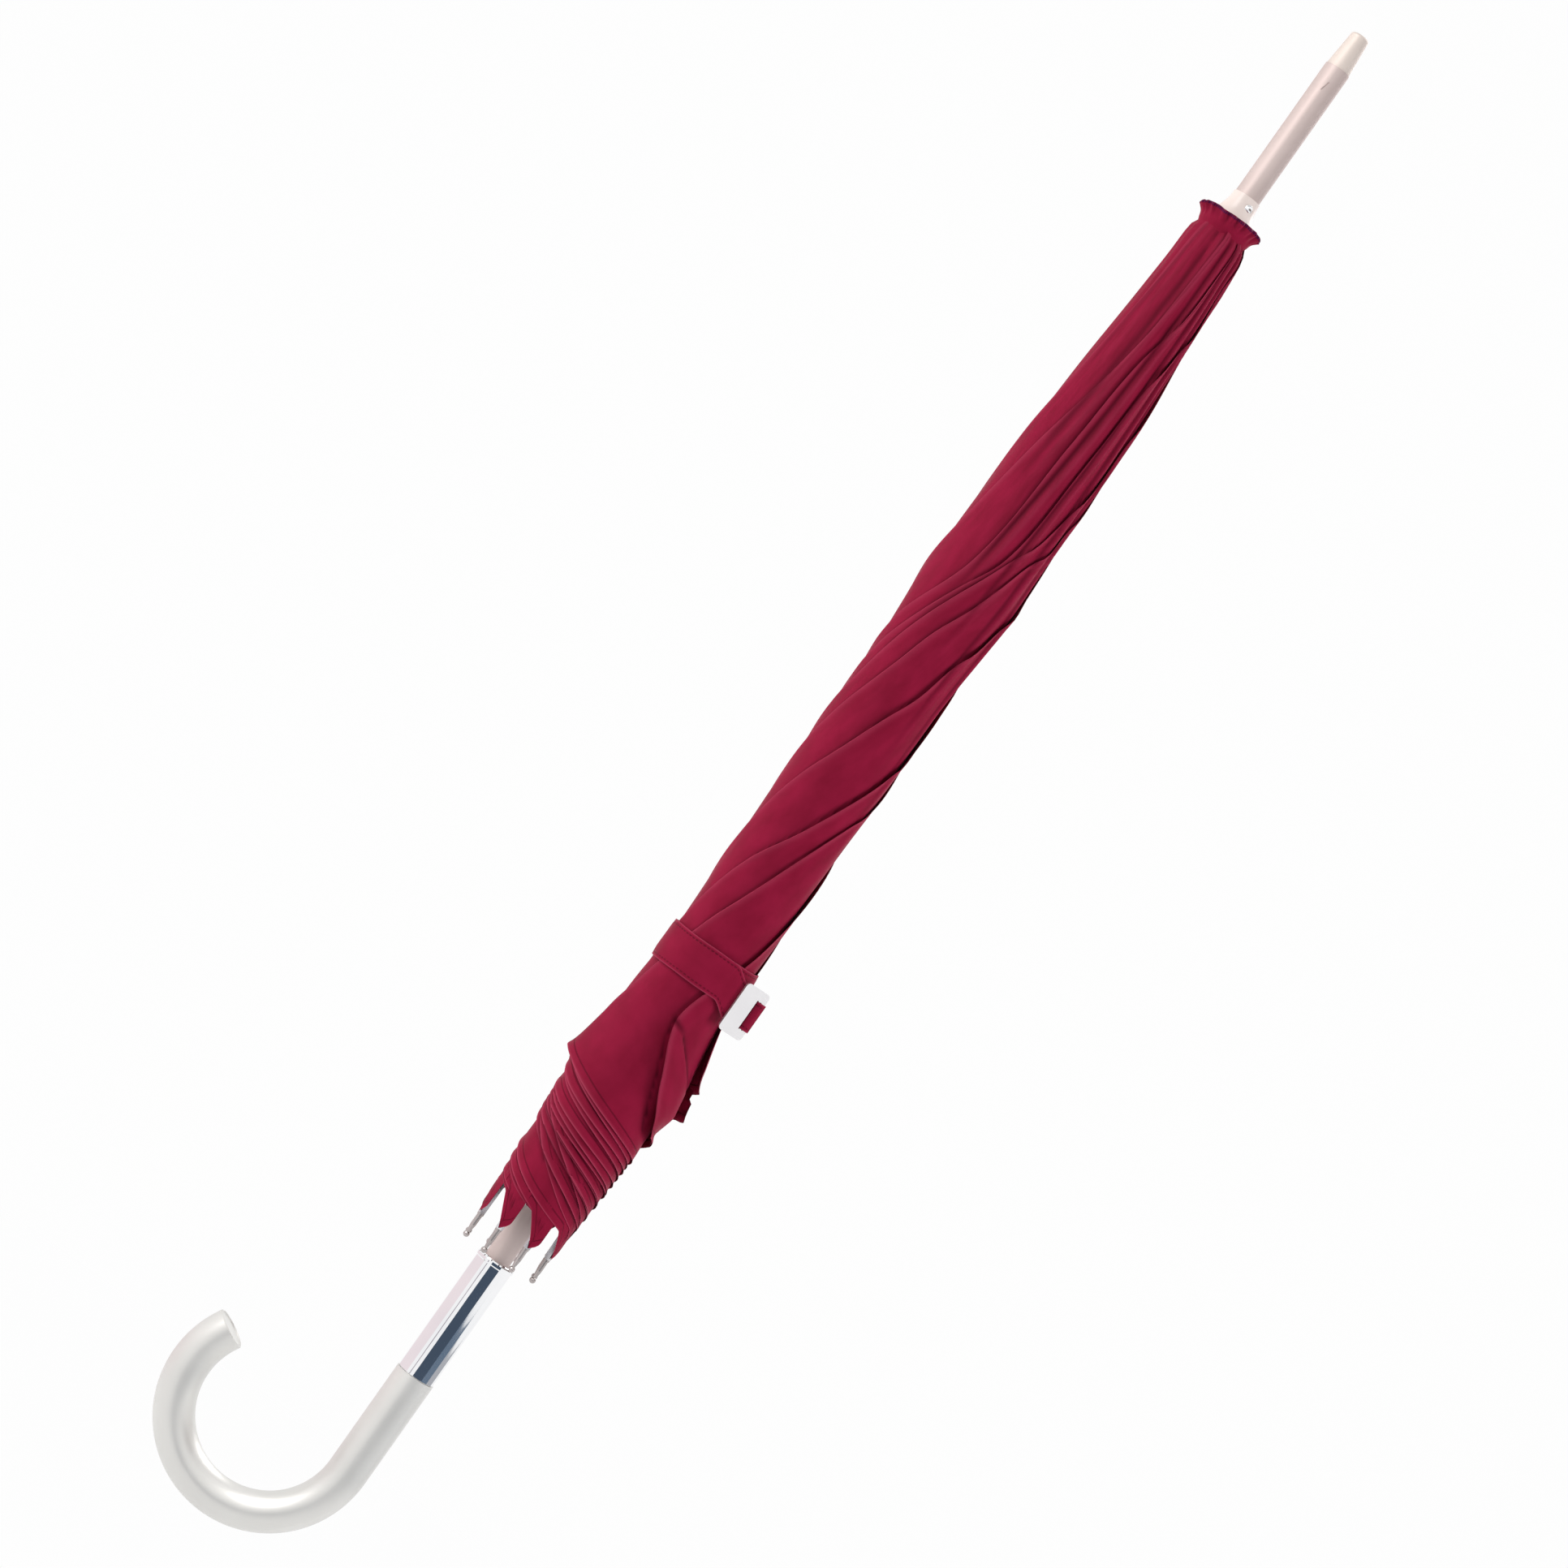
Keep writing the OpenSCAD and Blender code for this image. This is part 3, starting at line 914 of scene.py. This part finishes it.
    def shade(self, k: int, azimuth: float, z: float) -> float:
        """Return how dark a point lies under the nearest edge of another gore.

        Args:
            k: The point's own gore.
            azimuth: Its place round the roll.
            z: Its height.

        Returns:
            The shade, from 0 to 1.
        """
        wide = math.radians(mix(15.0, 8.0, smooth((z - 0.150) / 0.04)))
        most = 0.0
        edges = self.edges + self.inner_edges if z < 0.19 else self.edges
        for j, edge in enumerate(edges):
            gap = (edge.read(z) - azimuth) % math.tau
            if j % RIBS != k - 1 and gap < wide:
                most = max(most, (1 - gap / wide) ** 2)
        return 0.92 * most * (1 - self.crown(z))

    def gore(self, k: int, material: Material) -> Piece:
        """Make one wound gore.

        Args:
            k: The gore's number, from 1.
            material: The cloth's finish.

        Returns:
            The gore.
        """
        width = 2 * self.cloth_len * math.sin(self.half_angle)

        def place(across: float, along: float) -> Spot:
            """Return the point, its place on the flat cloth measured from the hem, and its painted shade
            and highlight.
            """
            down = mix(0.003, 1.0, 1 - (1 - along) ** 1.35)
            across -= 0.6 * math.sin(2 * math.tau * across) / (2 * math.tau)
            point, shade, light, from_hem = self.gore_point(k, across, down)
            # fold holds the painted shade and crest the painted highlight
            return point, (across * width, from_hem), {"fold": shade, "crest": light}

        piece = cloth_grid(f"wound_gore_{k}", self.cuts, place, material)
        cloth = cloth_area(piece)
        LOG.info("%s keeps %.2f of its cloth", piece.name, cloth / self.flat_area(k))
        point_outwards(piece)
        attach(piece, "root")
        self.flat_area(k)
        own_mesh(piece)
        return piece

    def flat_area(self, k: int) -> float:
        """Return the area of a gore's cloth before it is rolled."""
        return self.half_angle * sum(self.reach(k, (i + 0.5) / STEPS) ** 2 for i in range(STEPS)) / STEPS

    def skin(self, k: int, material: Material) -> Piece:
        """Make the skin under the roll, between two ribs.

        Args:
            k: The gore's number, from 1.
            material: The cloth's finish.

        Returns:
            The skin, blended from one rib to the next.
        """
        foot_z = self.tip_z + self.skin_foot
        first, last = (k - 0.5) * PITCH, (k + 0.5) * PITCH

        def place(across: float, along: float) -> Spot:
            """Return the skin's point, its place on the cloth and no shade."""
            foot = foot_z + self.skin_arch * 4 * across * (1 - across)
            z = mix(self.pivot_z - self.skin_top, foot, along)
            flat = (across * 0.43 * mix(0.05, 1.0, along), (1 - along) * 0.55)
            return polar(self.bone(z), mix(first, last, across), z), flat, {"fold": 0.0}

        piece = cloth_grid(f"canopy_skin_{k}", self.skin_cuts, place, material)
        point_outwards(piece)
        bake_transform(piece)
        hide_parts(f"gore_{k}")
        return piece

    def build(self) -> None:
        """Make every gore and every skin."""
        cloth = ClothFinish("burgundy_satin", hem=0.0042).make(self.palette)
        for k in range(1, RIBS + 1):
            LOG.info("made %s and %s", self.gore(k, cloth).name, self.skin(k, cloth).name)


@dataclass
class Strap:
    """The tie strap with its sewn edges, and the end that folds through the slider plate."""

    palette: Palette
    azimuth: float = math.radians(-60.0)
    tab: float = 0.0212
    thick: float = 0.0007
    stitch_in: float = 0.0018
    gap: float = 0.02
    rounding: float = 0.0003
    dip: float = 0.0056
    end_tall: float = 0.0154
    bar: float = 0.0026
    bar_deep: float = 0.00135
    turns: int = 40
    pack_out: float = 0.0015
    pack_keep: float = 0.05

    def band(self, cloth: Material) -> Piece:
        """Make the band round the roll and its tab, which stand for the strap's CAD solid."""
        low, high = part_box("strap")
        radius = -low[1] - 0.0011
        width, middle = high[2] - low[2], (high[2] + low[2]) / 2
        round_len = radius * (math.tau - self.gap)
        total = round_len + self.tab
        along_tab = Vector((-math.sin(self.azimuth), math.cos(self.azimuth), 0))

        def place(across: float, along: float) -> Spot:
            """Return the strap's point, its place on the flat strap and its shade."""
            at = along * total
            z = middle + (across - 0.5) * width
            z += 0.0003 * noise.noise(Vector((at * 60, 0, 4))) * (across - 0.5) * 2
            off = abs(across - 0.5) * 2
            edge = self.rounding * smooth((off - 0.55) / 0.45)
            flat = (at, (1 - off) * width / 2)
            if at < round_len:
                bulge = 0.0004 * at / round_len + 0.00025 * noise.noise(Vector((at * 90, across * 2, 1)))
                turn = self.azimuth + at / radius + self.gap
                return polar(radius + bulge - edge, turn, z), flat, {"fold": 0.0}
            dip = self.dip * smooth((at - round_len) / 0.012)
            out = polar(radius + 0.0004 - edge, self.azimuth, z - dip)
            return out + along_tab * (at - round_len), flat, {"fold": 0.0}

        piece = cloth_grid("tie_strap", (40, 420), place, cloth)
        self.dress(piece)
        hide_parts("strap")
        return piece

    def dress(self, piece: Piece) -> None:
        point_outwards(piece)
        wall = piece.modifiers.new("cloth", "SOLIDIFY")
        wall.thickness = self.thick
        wall.offset = 0.0
        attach(piece, "gore_7")
        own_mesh(piece)

    def end(self, cloth: Material) -> Piece:
        """Make the strap's end, which wraps the outer bar of the slider plate."""
        low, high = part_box("slider_plate")
        out = Vector((math.cos(self.azimuth), math.sin(self.azimuth), 0))
        side = Vector((-math.sin(self.azimuth), math.cos(self.azimuth), 0))
        reach = Vector((high[0], high[1], 0)).dot(side)
        middle, bar = (low[2] + high[2]) / 2, self.bar
        turns = [i * math.tau / self.turns for i in range(self.turns + 1)]
        loop = [
            Vector((bar * (0.62 * math.cos(t) ** 3 + 0.35 * math.cos(t)), self.bar_deep * math.sin(t), 0))
            for t in turns
        ]
        centre = out * (-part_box("strap")[0][1] + 0.0007) + side * (reach - 0.0023)
        around = sum((b - a).length for a, b in zip(loop, loop[1:]))

        def place(across: float, along: float) -> Spot:
            """Return a point of the looped end, its place on the flat strap and its shade."""
            spot = loop[min(self.turns, round(along * self.turns))]
            z = middle + (across - 0.5) * self.end_tall
            off = abs(across - 0.5) * 2
            flat = (along * around, (1 - off) * self.end_tall / 2)
            point = centre + side * spot.x + out * spot.y + Vector((0, 0, z))
            # painted shade on the half of the loop that runs in towards the plate
            return point, flat, {"fold": 0.35 * smooth(1 - (spot.x / bar + 1))}

        piece = cloth_grid("strap_end", (24, self.turns), place, cloth)
        close_ring(piece)
        self.dress(piece)
        return piece

    def build(self) -> None:
        """Make the band and its end."""
        cloth = ClothFinish("strap_satin", hem=self.stitch_in, stitches=2800.0).make(self.palette)
        LOG.info("made %s and %s", self.band(cloth).name, self.end(cloth).name)


@dataclass
class Frill:
    """The gathered frill at the crown, with a dark overlocked edge."""

    palette: Palette
    waves: int = 19
    ruffle: float = 0.0010
    neck: float = 0.0105
    skirt: float = 0.0132
    girth: float = 0.105
    thread: Colour = (0.012, 0.004, 0.040)
    cuts: tuple[int, int] = (456, 64)

    def build(self) -> Piece:
        """Make the frill, which stands for its CAD solid."""
        low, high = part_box("frill")
        rim = high[0] - 0.0008
        foot, head = low[2], high[2]
        profile = [
            Vector((r, 0, z))
            for r, z in (
                (self.skirt + 0.0001, foot - 0.0052), (self.skirt, foot + 0.0006), (0.0138, foot + 0.0024),
                (rim - 0.0014, foot + 0.0052), (rim + 0.0006, head + 0.0012), (rim - 0.0004, head + 0.0022),
                (rim - 0.0022, head + 0.0006), (self.skirt, head - 0.0006), (self.neck, head - 0.0008),
            )
        ]
        runs = [0.0]
        for a, b in zip(profile, profile[1:]):
            runs.append(runs[-1] + (b - a).length)
        radius = Curve([(r / runs[-1], p.x) for r, p in zip(runs, profile)])
        height = Curve([(r / runs[-1], p.z) for r, p in zip(runs, profile)])
        edge_at = runs[4] / runs[-1]

        def place(across: float, along: float) -> Spot:
            """Return a point round the frill and up its profile, from hem to neck."""
            azimuth = across * math.tau
            wander = ripple(azimuth, 2.5, 5.0)
            wave = math.sin(azimuth * self.waves + 3.0 * wander)
            wave += 0.55 * ripple(azimuth, 9.0, 2.0)
            crest = math.exp(-(((along - edge_at) / 0.17) ** 2))
            near = math.exp(-(((along - edge_at) / 0.05) ** 2))
            point = polar(
                radius.read(along) + self.ruffle * wave * crest,
                azimuth,
                height.read(along) + 0.0007 * wander * crest - 0.0006 * wave * near,
            )
            stitch = 0.65 + 0.35 * math.sin(azimuth * 110)
            thread = smooth((near - 0.25) / 0.5) * stitch
            # dip is painted shade in the troughs of the ruffle's waves
            dip = 0.30 * smooth(-wave) * crest
            return point, (across * self.girth, along * 0.02), {"fold": dip, "thread": thread}

        cloth = ClothFinish("frill_satin", thread=self.thread).make(self.palette)
        piece = cloth_grid("crown_frill", self.cuts, place, cloth)
        close_ring(piece)
        point_outwards(piece)
        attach(piece, "root")
        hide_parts("frill")
        return piece


@dataclass
class Hardware:
    """The metal, enamelled and moulded parts, which keep their CAD shapes, and the rivet's dressed head."""

    palette: Palette
    dome_r: float = 0.0017
    dome_share: float = 0.6
    rim_r: float = 0.0019
    rim_tube: float = 0.00035

    def rivet(self, material: Material) -> Piece:
        """Seat a polished dome with a rolled rim in the crown cap, in place of the plain rivet."""
        low, high = (Vector(corner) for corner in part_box("cap_rivet"))
        centre = (low + high) / 2
        out = Vector((centre.x, centre.y, 0)).normalized()
        place = Matrix.Translation(centre) @ out.to_track_quat("Z", "Y").to_matrix().to_4x4()
        bm = bmesh.new()
        bmesh.ops.create_uvsphere(
            bm, u_segments=48, v_segments=32, radius=self.dome_r,
            matrix=place @ Matrix.Diagonal((1, 1, self.dome_share, 1)),
        )
        tube = place @ Matrix.Translation((self.rim_r, 0, 0)) @ Matrix.Rotation(math.pi / 2, 4, "X")
        ring = bmesh.ops.create_circle(bm, segments=16, radius=self.rim_tube, matrix=tube)["verts"]
        edges = list(dict.fromkeys(edge for vert in ring for edge in vert.link_edges))
        bmesh.ops.spin(
            bm, geom=ring + edges, cent=centre, axis=out, angle=math.tau, steps=64, use_merge=True
        )
        bmesh.ops.remove_doubles(bm, verts=bm.verts[:], dist=1e-6)
        bmesh.ops.recalc_face_normals(bm, faces=bm.faces[:])
        piece = finish_piece(bm, "crown_rivet", material)
        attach(piece, "root")
        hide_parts("cap_rivet")
        return piece

    def finishes(self) -> dict[str, Material]:
        """Make each finish and return them by node name."""
        finishes = (
            MetalFinish(Metal.CHROME, (0.86, 0.87, 0.89), (0.92, 0.92, 0.93), (0.03, 0.08)),
            MetalFinish(
                Metal.SHAFT, (0.59, 0.485, 0.46), (0.62, 0.515, 0.49), (0.52, 0.55), 0.45, grain=0.006
            ),
            MetalFinish(Metal.TIP, (0.70, 0.61, 0.555), (0.74, 0.65, 0.595), (0.56, 0.60), 0.35),
            MetalFinish(Metal.STEEL, (0.62, 0.61, 0.63), (0.72, 0.71, 0.73), (0.16, 0.30)),
            MetalFinish(
                Metal.NICKEL, (0.78, 0.765, 0.78), (0.84, 0.825, 0.835), (0.15, 0.21), 0.85, grain=0.02
            ),
            MetalFinish(Metal.WIRE, (0.40, 0.36, 0.35), (0.52, 0.47, 0.46), (0.18, 0.28), 0.9),
            MetalFinish(
                Metal.PEARL, (0.735, 0.725, 0.70), (0.765, 0.755, 0.73), (0.40, 0.43), 0.80,
                coat=0.06, grain=0.006, across=260.0,
            ),
            PlainFinish(Plain.BLACK, (0.012, 0.012, 0.014), (0.022, 0.022, 0.025), (0.35, 0.5)),
            PlainFinish(Plain.CREAM, (0.80, 0.69, 0.64), (0.84, 0.73, 0.68), (0.42, 0.52), coat=0.3),
            PlainFinish(Plain.WHITE, (0.66, 0.74, 0.84), (0.74, 0.80, 0.88), (0.25, 0.35), coat=0.3),
        )
        made = {finish.kind: finish.make(self.palette) for finish in finishes}
        wanted = {
            "shaft": Metal.SHAFT, "tip": Metal.TIP, "crook_handle": Metal.PEARL,
            "handle_end_cap": Metal.PEARL, "grip_sleeve": Metal.CHROME, "top_notch": Plain.BLACK,
            "runner": Metal.CHROME, "lower_latch": Metal.STEEL, "upper_latch": Metal.STEEL,
            "crown_cap": Plain.CREAM, "cap_rivet": Metal.WIRE, "washer": Plain.WHITE,
            "slider_plate": Metal.NICKEL,
        }
        for k in range(1, RIBS + 1):
            wanted |= {f"rib_{k}": Metal.STEEL, f"stretcher_{k}": Metal.STEEL, f"rib_tip_{k}": Metal.WIRE}
        return {node: made[kind] for node, kind in wanted.items()}

    def build(self, nodes: dict[str, Piece]) -> None:
        """Give each of the frame's CAD objects its finish, and dress the rivet."""
        finishes = self.finishes()
        for name, material in finishes.items():
            piece = nodes[name]
            piece.data.materials.clear()
            piece.data.materials.append(material)
            LOG.info("%s in %s", name, material.name)
        LOG.info("made %s", self.rivet(finishes["runner"]).name)


@dataclass
class Studio:
    """The pale studio, its soft lights and the camera."""

    centre: Vector = field(default_factory=lambda: Vector((-0.0191, 0.0, 0.3308)))
    view_width: float = 0.7457
    lens: float = 100.0
    sensor: float = 36.0
    roll: float = math.radians(35.23)
    floor_z: float = -0.60
    flag_r: float = 1.5

    def camera(self) -> None:
        """Place the camera level with the umbrella and roll it, so the shaft leans to the right."""
        data = bpy.data.cameras.new("camera")
        data.lens, data.sensor_width = self.lens, self.sensor
        data.clip_end = 50
        camera = bpy.data.objects.new("camera", data)
        away = self.view_width * self.lens / self.sensor
        right = Vector((math.cos(self.roll), 0, math.sin(self.roll)))
        up = Vector((-math.sin(self.roll), 0, math.cos(self.roll)))
        turn = Matrix((right, up, right.cross(up))).transposed()
        camera.matrix_world = Matrix.Translation(self.centre + Vector((0, -away, 0))) @ turn.to_4x4()
        bpy.context.scene.collection.objects.link(camera)
        bpy.context.scene.camera = camera

    def lamp(
        self, name: str, place: Vector, size: Span, power: float, tint: Colour,
        shiny: bool = True,
    ) -> None:
        """Add a soft panel that faces the umbrella.

        Args:
            name: The lamp's name.
            place: Where it stands.
            size: Its width and height.
            power: Its power in watts.
            tint: Its colour.
            shiny: Whether metal reflects it. Without it, it only brightens the cloth's sides.
        """
        data = bpy.data.lights.new(name, "AREA")
        data.shape = "RECTANGLE"
        data.size, data.size_y = size
        data.energy = power
        data.color = tint
        lamp = bpy.data.objects.new(name, data)
        aim = (self.centre - place).to_track_quat("-Z", "Y").to_matrix().to_4x4()
        lamp.matrix_world = Matrix.Translation(place) @ aim
        lamp.visible_glossy = shiny
        bpy.context.scene.collection.objects.link(lamp)

    def panel(
        self, name: str, corner: Vector, wide: Vector, tall: Vector, colour: Colour, glow: float = 0.0
    ) -> None:
        """Add a stage panel.

        Args:
            name: The panel's name.
            corner: Its first corner.
            wide: Its first side.
            tall: Its second side.
            colour: Its colour.
            glow: How near white it looks. Without any, only reflections show the panel.
        """
        bm = bmesh.new()
        turn = Matrix((wide, tall, wide.cross(tall).normalized())).transposed().to_4x4()
        place = Matrix.Translation(corner + (wide + tall) / 2) @ turn
        bmesh.ops.create_grid(bm, x_segments=1, y_segments=1, size=0.5, matrix=place)
        surface = Surface(name)
        surface.feed(surface.shader.inputs["Base Color"], (*colour, 1))
        surface.feed(surface.shader.inputs["Roughness"], 0.9)
        panel = finish_piece(bm, name, surface.material)
        white, share = surface.node("Emission", {}), 1.0
        if glow:
            share = surface.math("MULTIPLY", surface.seen(), glow)
        else:
            surface.feed(white.inputs["Color"], (*colour, 1))
            panel.visible_camera = panel.visible_diffuse = panel.visible_shadow = False
        blend = surface.node("MixShader", {0: share, 1: surface.shader.outputs[0], 2: white.outputs[0]})
        surface.feed(surface.tree.nodes["Material Output"].inputs["Surface"], blend.outputs[0])

    def flag(
        self, name: str, span: Span, colour: Colour, tall: float = 0.34, foot: float = -0.36
    ) -> None:
        """Add a panel that only reflections show, at the height that the sleeve reflects.

        Args:
            name: The panel's name.
            span: Where it starts and ends, in degrees to the right of the camera's direction.
            colour: Its colour.
            tall: Its height.
            foot: How high it starts.
        """
        first, last = (math.radians(a) for a in span)
        start, end = (
            Vector((self.flag_r * math.sin(turn), -self.flag_r * math.cos(turn), foot))
            for turn in (first, last)
        )
        self.panel(name, start, end - start, Vector((0, 0, tall)), colour)

    def world(self) -> None:
        """Light the room softly, and show white behind the umbrella."""
        world = bpy.data.worlds.new("studio")
        bpy.context.scene.world = world
        world.use_nodes = True
        wiring = Wiring(world.node_tree)
        soft = wiring.tree.nodes["Background"]
        wiring.feed(soft.inputs["Color"], (0.97, 0.98, 1.0, 1))
        wiring.feed(soft.inputs["Strength"], 0.42)
        white = wiring.node("Background", {"Color": (1, 1, 1, 1), "Strength": 1.0})
        blend = wiring.node("MixShader", {0: wiring.seen(), 1: soft.outputs[0], 2: white.outputs[0]})
        wiring.feed(wiring.tree.nodes["World Output"].inputs["Surface"], blend.outputs[0])

    def build(self) -> None:
        """Set the view, the camera, the lights and the stage."""
        bpy.context.scene.view_settings.view_transform = "Standard"
        self.camera()
        self.world()
        self.lamp("key", Vector((-1.3, -1.3, 1.5)), (0.9, 1.5), 23.0, (1.0, 0.985, 0.97))
        self.lamp("left", Vector((-1.9, -0.1, 0.42)), (0.8, 1.1), 18.0, (1.0, 0.98, 0.97), shiny=False)
        self.lamp("right", Vector((1.85, -0.4, 0.42)), (0.7, 1.1), 22.0, (0.97, 0.98, 1.0), shiny=False)
        self.lamp("back", Vector((0.6, 1.0, 1.5)), (1.0, 1.0), 9.0, (1.0, 1.0, 1.0))
        z, far, side = self.floor_z, 3.0, 4.0
        pale = (0.86, 0.86, 0.86)
        across = Vector((2 * side, 0, 0))
        self.panel("floor", Vector((-side, -side, z)), across, Vector((0, side + far, 0)), pale, 0.97)
        self.panel("backdrop", Vector((-side, far, z)), across, Vector((0, 0, 4.0 - z)), pale, 0.97)
        self.flag("dark_flag", (-12.0, 46.0), (0.060, 0.085, 0.125))
        self.flag("blue_flag", (46.0, 84.0), (0.13, 0.18, 0.25), 0.19)
        self.flag("grey_flag", (84.0, 128.0), (0.42, 0.43, 0.46), 0.17)
        self.flag("thin_flag", (-38.0, -33.0), (0.42, 0.38, 0.42))
        self.flag("shaft_flag", (38.0, 125.0), (0.26, 0.22, 0.21), 0.75, 0.62)
        self.flag("pink_flag", (-150.0, -58.0), (0.90, 0.80, 0.82))


def main() -> None:
    """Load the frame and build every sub-assembly."""
    logging.basicConfig(level=logging.INFO, format="%(message)s")
    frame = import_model()
    Studio().build()
    palette = Palette()
    Hardware(palette).build(frame["nodes"])
    joints = {joint["name"]: joint for joint in frame["joints"]}
    Canopy(palette, joints).build()
    Strap(palette).build()
    LOG.info("made %s", Frill(palette).build().name)


if __name__ == "__main__":
    main()
